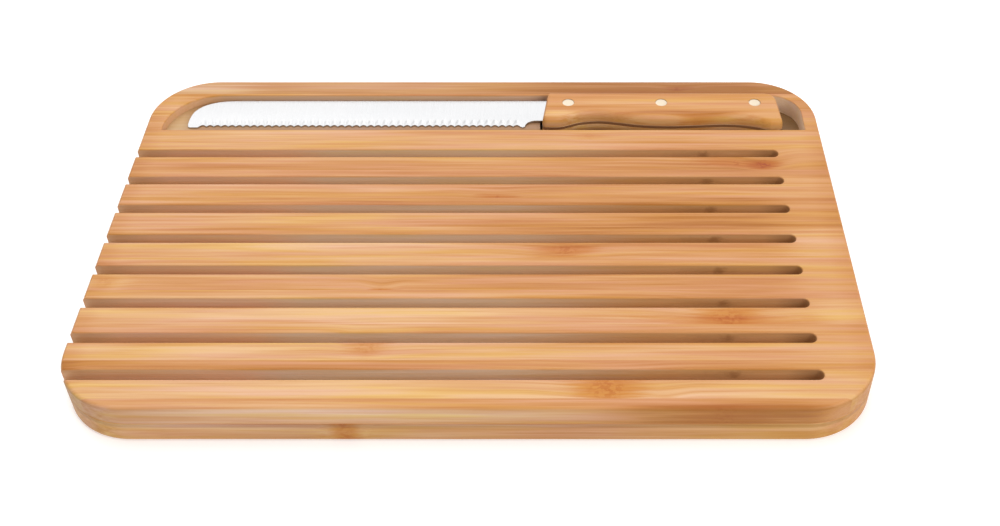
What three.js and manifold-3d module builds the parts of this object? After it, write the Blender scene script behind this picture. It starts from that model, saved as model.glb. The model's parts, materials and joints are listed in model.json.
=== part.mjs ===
// Bread board of glued bamboo laths, with a bread knife lying in a recess along its back edge.
// Millimetres, +Z up. The origin is the middle of the underside. +X runs along the laths
// towards the knife's handle, and +Y points at the back edge, where the knife lies.

import * as THREE from "three";
import { mergeVertices } from "three/addons/utils/BufferGeometryUtils.js";
import Module from "manifold-3d";

const wasm = await Module();
wasm.setup();

// Board
const boardLength = 380;
const boardDepth = 250;
const topPlyThickness = 10.7;
const bottomPlyThickness = 12.3;
const boardCornerRadius = 35;
const boardEdgeRound = 2;
const lathWidth = 23.1;
const leastLathWidth = 4;
const railSeamSetback = 1.3;
const plyStaggerShare = 0.5;

// Crumb grooves, one in each lath of the cutting area
const grooveWidth = 6.2;
const grooveFloorThickness = 2.7;
const grooveEndMargin = 26;
const grooveSeamSetback = 5.5;
const leastShoulderWidth = 10;
const leastFrontMargin = 12;

// Knife recess
const railWidth = 14.3;
const recessLeftWall = 9.5;
const recessRightWall = 8;
const recessLeftRadius = 30;
const recessRightRadius = 17;
const tipClearance = 12.4;
const buttClearance = 12;
const knifeSideClearance = 2.2;
const bladeFloat = 0.45;
const handleStartClearance = 2.3;

// Knife handle
const handleLength = 136;
const handleHeight = 28;
const scaleThickness = 6.35;
const handleEdgeRound = 2;
const handleFrontSlant = 2.4;
const buttSlant = 1;
const buttBackRadius = 8.5;
const handleCornerRadius = 3;

// Knife blade
const bladeThickness = 2;
const bladeHeight = 23.6;
const pointCurveLength = 28;
const pointEdgeRadius = 3;
const cuttingEdgeThickness = 0.4;
const grindHeight = 5;
const serrationPitch = 4.2;
const serrationDepth = 1.5;
const toothSetback = 1.4;
const plainPointLength = 7.5;
const heelLength = 9.9;
const choilLength = 6.4;
const choilHeight = 5.6;

// Rivets, each a socket pressed over a pin
const rivetHeadDiameter = 6.7;
const rivetHeadThickness = 1.4;
const socketDiameter = 4.6;
const pinDiameter = 2.4;
const rivetClearance = 0.3;

// The handle's front edge, from the blade to the butt: share of the handle's length, share of its height
const gripEdgeShares = [
  [0.026, 0.897],
  [0.074, 0.886],
  [0.115, 0.814],
  [0.158, 0.736],
  [0.229, 0.689],
  [0.304, 0.731],
  [0.408, 0.821],
  [0.533, 0.854],
  [0.659, 0.825],
  [0.743, 0.8],
  [0.826, 0.821],
  [0.885, 0.879],
  [0.923, 0.95],
  [0.95, 0.99],
];

// Rivets along the handle, as shares of its length, and their line below its back, as a share of its height
const rivetAlongShares = [0.109, 0.5, 0.893];
const rivetLineShare = 0.36;

// Shape of the blade's point, as shares of its curve's length and height
const pointSpineShare = 0.72;
const pointFrontShare = 0.27;

// How far a cutting body runs past what it cuts
const overrun = 2;

// Steps along a curve and across a rounded edge
const cornerSteps = 8;
const gripSteps = 3;
const roundSteps = 3;
const roundSides = 24;
const scallopSteps = 4;

// Derived sizes of the board
const boardThickness = topPlyThickness + bottomPlyThickness;
const boardBack = boardDepth / 2;
const boardLeft = -boardLength / 2;
const boardRight = boardLength / 2;

// Derived sizes of the recess: the pocket under the handle goes down to the bottom ply,
// and the shallow tray under the blade stops just below it
const recessLeft = boardLeft + recessLeftWall;
const recessRight = boardRight - recessRightWall;
const recessBack = boardBack - railWidth;
const recessFront = recessBack - handleHeight - 2 * knifeSideClearance;
const trayCornerRadius = Math.min(recessLeftRadius, recessBack - recessFront - knifeSideClearance);
const pocketFloor = bottomPlyThickness;
const trayFloor = pocketFloor + scaleThickness - bladeFloat;

// Derived sizes of the knife and its place
const knifeLength = recessRight - recessLeft - tipClearance - buttClearance;
const bladeLength = knifeLength - handleLength;
const handleThickness = 2 * scaleThickness + bladeThickness;
const knifeOrigin = new THREE.Vector3(
  recessRight - buttClearance - handleLength,
  recessBack - knifeSideClearance,
  pocketFloor,
);
const pocketLeft = knifeOrigin.x - handleStartClearance;

// Derived places of the seams and the grooves
const firstTopSeam = recessBack + railSeamSetback;
const firstBaseSeam = firstTopSeam - plyStaggerShare * lathWidth;
const farthestGrooveBack = recessFront - leastShoulderWidth;
const nearestGrooveBack = leastFrontMargin + grooveWidth - boardBack;
const grooveRight = boardRight - grooveEndMargin;
const grooveFloor = bottomPlyThickness + grooveFloorThickness;

const bambooMaterial = (name, color) =>
  new THREE.MeshStandardMaterial({ name, color, roughness: 0.55, metalness: 0 });
const steelMaterial = (name, color, roughness) =>
  new THREE.MeshStandardMaterial({ name, color, roughness, metalness: 1 });

const materials = {
  paleLath: bambooMaterial("pale_bamboo", 0xe9b987),
  midLath: bambooMaterial("honey_bamboo", 0xdfa873),
  baseLath: bambooMaterial("base_bamboo", 0xd2a374),
  scale: bambooMaterial("handle_bamboo", 0xdd9f62),
  blade: steelMaterial("blade_steel", 0xe8eaec, 0.25),
  rivet: steelMaterial("rivet_steel", 0xf0ede4, 0.3),
};

// Turns a closed geometry into a solid for cutting and joining
function solidOf(geometry) {
  const bare = geometry.clone();
  bare.deleteAttribute("normal");
  bare.deleteAttribute("uv");
  const merged = mergeVertices(bare);
  return new wasm.Manifold(new wasm.Mesh({
    numProp: 3,
    vertProperties: new Float32Array(merged.attributes.position.array),
    triVerts: new Uint32Array(merged.index.array),
  }));
}

// Turns a solid back into a geometry
function geometryOf(solid) {
  const mesh = solid.getMesh();
  const indexed = new THREE.BufferGeometry();
  indexed.setAttribute("position", new THREE.BufferAttribute(mesh.vertProperties, 3));
  indexed.setIndex(new THREE.BufferAttribute(mesh.triVerts, 1));
  const geometry = indexed.toNonIndexed();
  geometry.computeVertexNormals();
  return geometry;
}

function namedMesh(name, solid, material) {
  const mesh = new THREE.Mesh(geometryOf(solid), material.clone());
  mesh.name = name;
  return mesh;
}

// A box between two corners
function boxSolid(low, high) {
  const size = high.clone().sub(low);
  const geometry = new THREE.BoxGeometry(size.x, size.y, size.z);
  const middle = low.clone().add(high).multiplyScalar(0.5);
  geometry.translate(middle.x, middle.y, middle.z);
  return solidOf(geometry);
}

// An upright plate of an outline, from one height to another, with plain or rounded rims
function plateSolid(outline, bottom, top, steps, rimRound = 0) {
  const geometry = new THREE.ExtrudeGeometry(outline, {
    depth: top - bottom - 2 * rimRound,
    curveSegments: steps,
    bevelEnabled: rimRound > 0,
    bevelSize: rimRound,
    bevelThickness: rimRound,
    bevelOffset: -rimRound,
    bevelSegments: roundSteps,
  });
  geometry.translate(0, 0, bottom + rimRound);
  return solidOf(geometry);
}

// An upright cylinder around a point of the plan
function cylinderSolid(diameter, x, y, bottom, top) {
  const geometry = new THREE.CylinderGeometry(diameter / 2, diameter / 2, top - bottom, roundSides);
  geometry.rotateX(Math.PI / 2);
  geometry.translate(x, y, (bottom + top) / 2);
  return solidOf(geometry);
}

// A rectangle whose corners have radii of their own: back left, front left, front right, back right
function cornerRectangle(left, right, front, back, radii) {
  const [backLeft, frontLeft, frontRight, backRight] = radii;
  const outline = new THREE.Shape();
  const quarter = Math.PI / 2;
  const corner = (x, y, radius, turn) => {
    if (radius > 0) {
      outline.absarc(x, y, radius, turn * quarter, (turn + 1) * quarter, false);
    } else {
      outline.lineTo(x, y);
    }
  };
  outline.moveTo(right - backRight, back);
  corner(left + backLeft, back - backLeft, backLeft, 1);
  corner(left + frontLeft, front + frontLeft, frontLeft, 2);
  corner(right - frontRight, front + frontRight, frontRight, 3);
  corner(right - backRight, back - backRight, backRight, 0);
  return outline;
}

// Both plies as one blank, rounded at the corners and along its edges
function boardBlank() {
  const radii = Array(4).fill(boardCornerRadius);
  const outline = cornerRectangle(boardLeft, boardRight, -boardBack, boardBack, radii);
  return plateSolid(outline, 0, boardThickness, cornerSteps, boardEdgeRound);
}

// The recess: a shallow tray with a deep pocket at its right end
function recessCutter() {
  const top = boardThickness + overrun;
  const trayRadii = [trayCornerRadius, 0, 0, 0];
  const tray = cornerRectangle(recessLeft, pocketLeft + overrun, recessFront, recessBack, trayRadii);
  const pocketRadii = [0, 0, 0, recessRightRadius];
  const pocket = cornerRectangle(pocketLeft, recessRight, recessFront, recessBack, pocketRadii);
  const traySolid = plateSolid(tray, trayFloor, top, cornerSteps);
  return traySolid.add(plateSolid(pocket, pocketFloor - overrun, top, cornerSteps));
}

// One crumb groove, open at the board's left side and round at its right end
function grooveCutter(back) {
  const radius = grooveWidth / 2;
  const outline = new THREE.Shape();
  outline.moveTo(boardLeft - overrun, back);
  outline.lineTo(boardLeft - overrun, back - grooveWidth);
  outline.lineTo(grooveRight - radius, back - grooveWidth);
  outline.absarc(grooveRight - radius, back - radius, radius, -Math.PI / 2, Math.PI / 2, false);
  return plateSolid(outline, grooveFloor, boardThickness + overrun, cornerSteps / 2);
}

// The glue seams across one ply, from the back to the front, with the board's two long edges
function seamsFrom(first) {
  const seams = [boardBack];
  for (let seam = first; seam > leastLathWidth - boardBack; seam -= lathWidth) {
    seams.push(seam);
  }
  seams.push(-boardBack);
  return seams;
}

// The part of a blank that lies between two seams and two heights
function lathOf(blank, back, front, bottom, top) {
  const backEnd = back === boardBack ? back + overrun : back;
  const frontEnd = front === -boardBack ? front - overrun : front;
  const low = new THREE.Vector3(boardLeft - overrun, frontEnd, bottom);
  const high = new THREE.Vector3(boardRight + overrun, backEnd, top);
  return blank.intersect(boxSolid(low, high));
}

// Laths of the top ply: the rail behind the knife, those cut by the recess, the grooved slats and the front
function topPly() {
  const blank = boardBlank();
  const recess = recessCutter();
  const counts = {};
  const ply = new THREE.Group();
  const seams = seamsFrom(firstTopSeam);
  for (let index = 0; index + 1 < seams.length; index += 1) {
    const [back, front] = [seams[index], seams[index + 1]];
    const grooveBack = back - grooveSeamSetback;
    let lath = lathOf(blank, back, front, bottomPlyThickness, boardThickness + overrun);
    let kind = back > recessBack ? "rail_lath" : "front_lath";
    if (front < recessBack && back > recessFront) {
      lath = lath.subtract(recess);
      kind = "recess_lath";
    }
    if (grooveBack < farthestGrooveBack && grooveBack > nearestGrooveBack) {
      lath = lath.subtract(grooveCutter(grooveBack));
      kind = "slat";
    }
    counts[kind] = (counts[kind] ?? 0) + 1;
    const material = index % 2 ? materials.midLath : materials.paleLath;
    ply.add(namedMesh(`${kind}_${counts[kind]}`, lath, material));
  }
  return ply;
}

// Laths of the bottom ply, with their seams away from those above
function bottomPly() {
  const blank = boardBlank();
  const ply = new THREE.Group();
  const seams = seamsFrom(firstBaseSeam);
  for (let index = 0; index + 1 < seams.length; index += 1) {
    const lath = lathOf(blank, seams[index], seams[index + 1], -overrun, bottomPlyThickness);
    ply.add(namedMesh(`base_lath_${index + 1}`, lath, materials.baseLath));
  }
  return ply;
}

// Outline of the handle: its front end on x = 0, its back along y = 0
function handleOutline() {
  const grip = gripEdgeShares.map(([along, down]) =>
    new THREE.Vector2(along * handleLength, -down * handleHeight));
  const butt = handleLength;
  const front = -handleHeight;
  const outline = new THREE.Shape();
  outline.moveTo(grip[0].x, grip[0].y);
  outline.splineThru(grip.slice(1));
  outline.quadraticCurveTo(butt, front, butt, front + handleCornerRadius);
  outline.lineTo(butt - buttSlant, -buttBackRadius);
  outline.quadraticCurveTo(butt - buttSlant, 0, butt - buttSlant - buttBackRadius, 0);
  outline.lineTo(handleFrontSlant + handleCornerRadius, 0);
  outline.quadraticCurveTo(handleFrontSlant, 0, handleFrontSlant, -handleCornerRadius);
  outline.lineTo(0, grip[0].y + handleCornerRadius);
  outline.quadraticCurveTo(0, grip[0].y, grip[0].x, grip[0].y);
  return outline;
}

// Outline of the blade: its spine along y = 0, its point to the left, its heel at the handle
function bladeOutline() {
  const point = -bladeLength;
  const edge = -bladeHeight;
  const toothTips = edge + toothSetback;
  const outline = new THREE.Shape();
  outline.moveTo(handleFrontSlant + overrun, 0);
  outline.lineTo(point + pointCurveLength, 0);
  outline.bezierCurveTo(
    point + pointCurveLength * (1 - pointSpineShare), 0,
    point, edge * pointFrontShare,
    point, edge + pointEdgeRadius,
  );
  outline.quadraticCurveTo(point, edge, point + pointEdgeRadius, edge);
  outline.lineTo(point + plainPointLength - toothSetback, edge);
  outline.lineTo(point + plainPointLength, toothTips);
  const serratedLength = bladeLength - plainPointLength - heelLength;
  const toothCount = Math.round(serratedLength / serrationPitch);
  const pitch = serratedLength / toothCount;
  for (let tooth = 0; tooth < toothCount; tooth += 1) {
    for (let step = 1; step <= scallopSteps; step += 1) {
      const share = step / scallopSteps;
      const rise = serrationDepth * Math.sin(Math.PI * share);
      outline.lineTo(point + plainPointLength + (tooth + share) * pitch, toothTips + rise);
    }
  }
  outline.quadraticCurveTo(-heelLength, edge + choilHeight + toothSetback, choilLength - heelLength,
    edge + choilHeight + toothSetback);
  outline.lineTo(handleFrontSlant + overrun, edge + choilHeight + toothSetback);
  return outline;
}

// Section of the blade, flat down to the grind and then thinner towards the cutting edge
function bladeSection() {
  const middle = scaleThickness + bladeThickness / 2;
  const half = bladeThickness / 2;
  const thin = cuttingEdgeThickness / 2;
  const section = new THREE.Shape();
  section.moveTo(overrun, middle - half);
  section.lineTo(overrun, middle + half);
  section.lineTo(grindHeight - bladeHeight, middle + half);
  section.lineTo(-bladeHeight, middle + thin);
  section.lineTo(-bladeHeight, middle - thin);
  section.lineTo(grindHeight - bladeHeight, middle - half);
  return section;
}

// The blade and its full tang, in one piece of steel
function bladeSolid() {
  const bottom = scaleThickness;
  const top = scaleThickness + bladeThickness;
  const plate = plateSolid(bladeOutline(), bottom, top, cornerSteps / 2);
  const sectionLength = bladeLength + handleFrontSlant + 3 * overrun;
  const grind = new THREE.ExtrudeGeometry(bladeSection(), { depth: sectionLength, bevelEnabled: false });
  grind.applyMatrix4(new THREE.Matrix4().makeBasis(
    new THREE.Vector3(0, 1, 0),
    new THREE.Vector3(0, 0, 1),
    new THREE.Vector3(1, 0, 0),
  ));
  grind.translate(-bladeLength - overrun, 0, 0);
  const tang = plateSolid(handleOutline(), bottom, top, gripSteps);
  let steel = plate.intersect(solidOf(grind)).add(tang);
  for (const place of rivetPlaces()) {
    const hole = socketDiameter + 2 * rivetClearance;
    steel = steel.subtract(cylinderSolid(hole, place.x, place.y, bottom - overrun, top + overrun));
  }
  return steel;
}

function rivetPlaces() {
  return rivetAlongShares.map((along) =>
    new THREE.Vector2(along * handleLength, -rivetLineShare * handleHeight));
}

// One scale of the handle, bored for the rivets and counterbored for their heads
function scaleSolid(upper) {
  const blank = plateSolid(handleOutline(), 0, handleThickness, gripSteps, handleEdgeRound);
  const bottom = upper ? scaleThickness + bladeThickness : -overrun;
  const top = upper ? handleThickness + overrun : scaleThickness;
  const low = new THREE.Vector3(-overrun, -handleHeight - overrun, bottom);
  const high = new THREE.Vector3(handleLength + overrun, overrun, top);
  let scale = blank.intersect(boxSolid(low, high));
  const headBottom = upper ? handleThickness - rivetHeadThickness : -overrun;
  const headTop = upper ? handleThickness + overrun : rivetHeadThickness;
  for (const place of rivetPlaces()) {
    const bore = socketDiameter + 2 * rivetClearance;
    const counterbore = rivetHeadDiameter + 2 * rivetClearance;
    scale = scale.subtract(cylinderSolid(bore, place.x, place.y, -overrun, handleThickness + overrun));
    scale = scale.subtract(cylinderSolid(counterbore, place.x, place.y, headBottom, headTop));
  }
  return scale;
}

// A solid turned around a rivet's line, from a profile of radius and height
function turnedSolid(profile, place) {
  const points = profile.map(([radius, height]) => new THREE.Vector2(radius, height));
  const geometry = new THREE.LatheGeometry(points, roundSides);
  geometry.rotateX(Math.PI / 2);
  geometry.translate(place.x, place.y, 0);
  return solidOf(geometry);
}

// The upper half of a rivet: a head with a hollow shank, whose end clears the lower head
function rivetSocket(place) {
  const boreRadius = pinDiameter / 2 + rivetClearance;
  const shankEnd = rivetHeadThickness + rivetClearance;
  const boreEnd = handleThickness - rivetHeadThickness;
  return turnedSolid([
    [0, boreEnd],
    [boreRadius, boreEnd],
    [boreRadius, shankEnd],
    [socketDiameter / 2, shankEnd],
    [socketDiameter / 2, handleThickness - rivetHeadThickness],
    [rivetHeadDiameter / 2, handleThickness - rivetHeadThickness],
    [rivetHeadDiameter / 2, handleThickness],
    [0, handleThickness],
  ], place);
}

// The lower half of a rivet: a head with a solid pin that ends inside the socket
function rivetPin(place) {
  return turnedSolid([
    [0, 0],
    [rivetHeadDiameter / 2, 0],
    [rivetHeadDiameter / 2, rivetHeadThickness],
    [pinDiameter / 2, rivetHeadThickness],
    [pinDiameter / 2, handleThickness - rivetHeadThickness - rivetClearance],
    [0, handleThickness - rivetHeadThickness - rivetClearance],
  ], place);
}

// The knife, lying flat with its cutting edge to the front
function knife() {
  const group = new THREE.Group();
  group.position.copy(knifeOrigin);
  group.add(namedMesh("blade", bladeSolid(), materials.blade));
  group.add(namedMesh("upper_scale", scaleSolid(true), materials.scale));
  group.add(namedMesh("lower_scale", scaleSolid(false), materials.scale));
  rivetPlaces().forEach((place, index) => {
    group.add(namedMesh(`rivet_socket_${index + 1}`, rivetSocket(place), materials.rivet));
    group.add(namedMesh(`rivet_pin_${index + 1}`, rivetPin(place), materials.rivet));
  });
  return group;
}

const breadBoard = new THREE.Group();
breadBoard.add(topPly());
breadBoard.add(bottomPly());
breadBoard.add(knife());

export default breadBoard;
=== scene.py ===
# Looks of the bread board and its knife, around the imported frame. Metres, +Z up.
import json
import math

import bpy
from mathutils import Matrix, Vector


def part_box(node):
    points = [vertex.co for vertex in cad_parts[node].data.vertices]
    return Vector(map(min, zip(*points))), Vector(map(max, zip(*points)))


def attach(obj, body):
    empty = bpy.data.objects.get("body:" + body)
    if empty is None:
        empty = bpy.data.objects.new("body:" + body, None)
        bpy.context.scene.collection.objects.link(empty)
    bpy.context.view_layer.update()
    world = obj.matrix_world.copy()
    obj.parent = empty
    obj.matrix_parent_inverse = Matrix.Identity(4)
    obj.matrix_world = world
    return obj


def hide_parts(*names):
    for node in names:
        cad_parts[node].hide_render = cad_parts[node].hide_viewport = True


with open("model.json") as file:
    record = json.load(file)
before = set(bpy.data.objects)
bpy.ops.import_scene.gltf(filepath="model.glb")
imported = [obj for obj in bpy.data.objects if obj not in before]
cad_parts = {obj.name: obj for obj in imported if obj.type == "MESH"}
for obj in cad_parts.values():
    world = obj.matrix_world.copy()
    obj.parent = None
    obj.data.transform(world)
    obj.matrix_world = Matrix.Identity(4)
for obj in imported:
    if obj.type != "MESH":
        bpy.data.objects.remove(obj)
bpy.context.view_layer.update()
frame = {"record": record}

MM = 0.001

# The photograph's camera: its place, pitch below the horizon, focal length and the shift of its middle
IMAGE_WIDTH_PX = 1000
FOCAL_LENGTH_PX = 1276.96
PRINCIPAL_X_PX = 545.88
CAMERA_PLACE = (36.01 * MM, -493.52 * MM, 465.16 * MM)
CAMERA_PITCH = math.radians(43.68)
SENSOR_WIDTH_MM = 36
CLIP_START = 10 * MM

# Board sizes that the nodes' boxes don't give
PLY_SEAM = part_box("slat_1")[0].z
BOARD_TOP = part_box("slat_1")[1].z
CORNER_RADIUS = 35 * MM
EDGE_ROUND = 2 * MM
SEAM_EASE = 0.25 * MM
GROOVE_WIDTH = 6.2 * MM
GROOVE_SETBACK = 5.5 * MM
GROOVE_FLOOR = PLY_SEAM + 2.7 * MM
GROOVE_END_MARGIN = 26 * MM
LIP_EASE = 0.7 * MM
OVERRUN = 2 * MM

# Recess sizes
RECESS_LEFT_WALL = 9.5 * MM
RECESS_RIGHT_WALL = 8 * MM
RECESS_LEFT_RADIUS = 30 * MM
RECESS_RIGHT_RADIUS = 17 * MM
RAIL_WIDTH = 14.3 * MM
RECESS_DEPTH = 32.4 * MM
BLADE_FLOAT = 0.45 * MM
HANDLE_START_CLEARANCE = 1.3 * MM

# Handle sizes
HANDLE_HEIGHT = 28 * MM
HANDLE_EDGE_ROUND = 1.8 * MM
HANDLE_FRONT_ROUND = 3.2 * MM
HANDLE_EDGE_DEPTH = 5.8 * MM
HANDLE_FRONT_SLANT = 2.4 * MM
BUTT_SLANT = 1 * MM
BUTT_BACK_RADIUS = 8.5 * MM
HANDLE_CORNER_RADIUS = 3 * MM
SCALE_EASE = 0.15 * MM
FRONT_FOCUS = 6

# The handle's front edge, from the blade to the butt: share of its length, share of its height
GRIP_EDGE_SHARES = (
    (0.026, 0.897), (0.074, 0.886), (0.115, 0.814), (0.158, 0.736), (0.229, 0.689),
    (0.304, 0.731), (0.408, 0.821), (0.533, 0.854), (0.659, 0.825), (0.743, 0.8),
    (0.826, 0.821), (0.885, 0.879), (0.923, 0.95), (0.95, 0.99),
)

# Blade sizes
BLADE_HEIGHT = 22.9 * MM
POINT_CURVE_LENGTH = 28 * MM
POINT_SPINE_SHARE = 0.57
POINT_FRONT_SHARE = 0.175
POINT_EDGE_RADIUS = 1.8 * MM
EDGE_THICKNESS = 0.25 * MM
GRIND_HEIGHT = 12 * MM
SERRATION_PITCH = 4.2 * MM
SERRATION_DEPTH = 1.5 * MM
TOOTH_SETBACK = 0.7 * MM
PLAIN_POINT_LENGTH = 6.4 * MM
HEEL_LENGTH = 9.9 * MM
HEEL_TOOTH = 2.6 * MM
CHOIL_LENGTH = 6.4 * MM
CHOIL_HEIGHT = 4.6 * MM
SCALLOP_REACH = 4.2 * MM
LEAST_SCALLOP_REACH = 0.6 * MM
HOLLOW_CURVE = 1.3
SPINE_EASE = 0.2 * MM
LEAST_LENGTH = 0.004 * MM
LEAST_SPAN = 0.02 * MM
PLAIN_STEP = 0.5 * MM
TANG_EASE = 0.12 * MM
TANG_OVERLAP = 1.5 * MM
SHADED_TANG_MARGIN = 0.1 * MM

# The most that the eased spine, the hollow and the ground face take up where the blade is low
SPINE_EASE_SHARE, HOLLOW_SHARE, GRIND_SHARE = 0.2, 0.5, 0.7

# Rivet sizes
RIVET_CROWN = 0.25 * MM
RIVET_SEAT_GAP = 0.04 * MM
RIVET_HEAD = 1.4 * MM
SOCKET_RADIUS = 2.3 * MM
SOCKET_LENGTH = 3 * MM
PIN_RADIUS = 1.2 * MM
PIN_END_GAP = 0.3 * MM

# Steps across a quarter turn of a corner, of an eased edge, of a groove's rim and of a rivet's crown
CORNER_STEPS, ROUND_STEPS, LIP_STEPS, CROWN_STEPS = 24, 7, 3, 6

# Steps between two points of the grip, round the handle's corners, round its butt and round a rivet
GRIP_STEPS, HANDLE_CORNER_STEPS, BUTT_STEPS, RIVET_SIDES = 5, 8, 12, 48

# Steps of the blade round its point, along its plain part, a scallop and the choil, and its rows across
# hollow, ground face and flat
POINT_STEPS, PLAIN_STEPS, SCALLOP_STEPS, CHOIL_STEPS = 14, 5, 8, 12
HOLLOW_ROWS, GRIND_ROWS, FLAT_ROWS = 8, 3, 2
BISECTIONS = 40

# Angles in degrees past which an edge stays sharp, and how much large faces rule the shading beside them
BOARD_CREASE, HANDLE_CREASE, BLADE_CREASE = 35, 40, 30
FACE_WEIGHT = 100


board_nodes = frame["record"]["behaviour"]["bodies"]["board"]
board_low, board_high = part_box("base_lath_1")[0].copy(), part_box("base_lath_1")[1].copy()
for node_name in board_nodes:
    low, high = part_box(node_name)
    board_low = Vector(map(min, board_low, low))
    board_high = Vector(map(max, board_high, high))


# Meshes

def linked(name, data):
    """A new object in the scene."""
    piece = bpy.data.objects.new(name, data)
    bpy.context.scene.collection.objects.link(piece)
    return piece


def mesh_object(name, points, faces):
    mesh = bpy.data.meshes.new(name)
    mesh.from_pydata(points, [], faces)
    mesh.update()
    return linked(name, mesh)


def walls(first, rings, count):
    """Faces between rings of equal count, from the number of their first point."""
    faces = []
    for low in range(first, first + (rings - 1) * count, count):
        for step in range(count):
            after = (step + 1) % count
            faces.append((low + step, low + after, low + count + after, low + count + step))
    return faces


def stacked(name, rings, clockwise=False):
    """A closed solid through rings of equal count, which turn anticlockwise seen from the last of them."""
    count = len(rings[0])
    points = [point for ring in rings for point in ring]
    first, last = range(count)[::-1], range(len(points) - count, len(points))
    between = walls(0, len(rings), count)
    if clockwise:
        first, last = first[::-1], last[::-1]
        between = [(a, d, c, b) for a, b, c, d in between]
    return mesh_object(name, points, [tuple(first), *between, tuple(last)])


def layered(name, levels):
    """A closed solid through flat rings and their heights."""
    return stacked(name, [[(x, y, height) for x, y in ring] for height, ring in levels])


def cut(piece, other, operation):
    """Changes the piece's mesh by an exact boolean with the other object."""
    modifier = piece.modifiers.new("cut", "BOOLEAN")
    modifier.object = other
    modifier.operation = operation
    modifier.solver = "EXACT"
    depsgraph = bpy.context.evaluated_depsgraph_get()
    mesh = bpy.data.meshes.new_from_object(piece.evaluated_get(depsgraph))
    piece.modifiers.clear()
    old = piece.data
    piece.data = mesh
    bpy.data.meshes.remove(old)


def remove(*pieces):
    for piece in pieces:
        mesh = piece.data
        bpy.data.objects.remove(piece)
        bpy.data.meshes.remove(mesh)


def arc(x, y, radius, start, turn, steps):
    """Points round a centre, from a start angle through a turn."""
    angles = [start + turn * step / steps for step in range(steps + 1)]
    return [(x + radius * math.cos(angle), y + radius * math.sin(angle)) for angle in angles]


def corner_rectangle(left, right, front, back, radii, grow):
    """A rectangle grown by a margin, with the radii of its corners from the front left anticlockwise."""
    centres = (
        (left + radii[0], front + radii[0]),
        (right - radii[1], front + radii[1]),
        (right - radii[2], back - radii[2]),
        (left + radii[3], back - radii[3]),
    )
    ring = []
    for corner, ((x, y), radius) in enumerate(zip(centres, radii)):
        start = math.pi + corner * math.pi / 2
        if radius > 0:
            ring += arc(x, y, radius + grow, start, math.pi / 2, CORNER_STEPS)
        else:
            ring += arc(x, y, math.sqrt(2) * grow, start, math.pi / 2, 2)[1:2]
    return ring


def quarter(steps):
    """Pairs of sine and cosine over a quarter turn."""
    return [(sine, cosine) for cosine, sine in arc(0, 0, 1, 0, math.pi / 2, steps)]


def lip_levels(floor):
    """Heights and margins of a cutter whose mouth, at the board's top, has an eased rim."""
    eased = [(BOARD_TOP - LIP_EASE * (1 - s), LIP_EASE * (1 - c)) for s, c in quarter(LIP_STEPS)]
    return [(floor, 0.0), *eased, (BOARD_TOP + OVERRUN, LIP_EASE)]


def finish_piece(piece, material, crease):
    """One material, and smooth shading that keeps flat faces and edges sharper than a crease."""
    mesh = piece.data
    mesh.materials.clear()
    mesh.materials.append(material)
    mesh.polygons.foreach_set("use_smooth", [True] * len(mesh.polygons))
    mesh.set_sharp_from_angle(angle=math.radians(crease))
    weighted = piece.modifiers.new("weighted_normal", "WEIGHTED_NORMAL")
    weighted.keep_sharp = True
    weighted.weight = FACE_WEIGHT


# Node trees

# The middle of a noise and of a row of tones, the span that most of a noise lies in, and its octaves
MIDDLE = 0.5
NOISE_SPAN = (0.3, 0.7)
SOFT_DETAIL, PLAIN_DETAIL, FINE_DETAIL = 1.0, 2.0, 3.0


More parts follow.
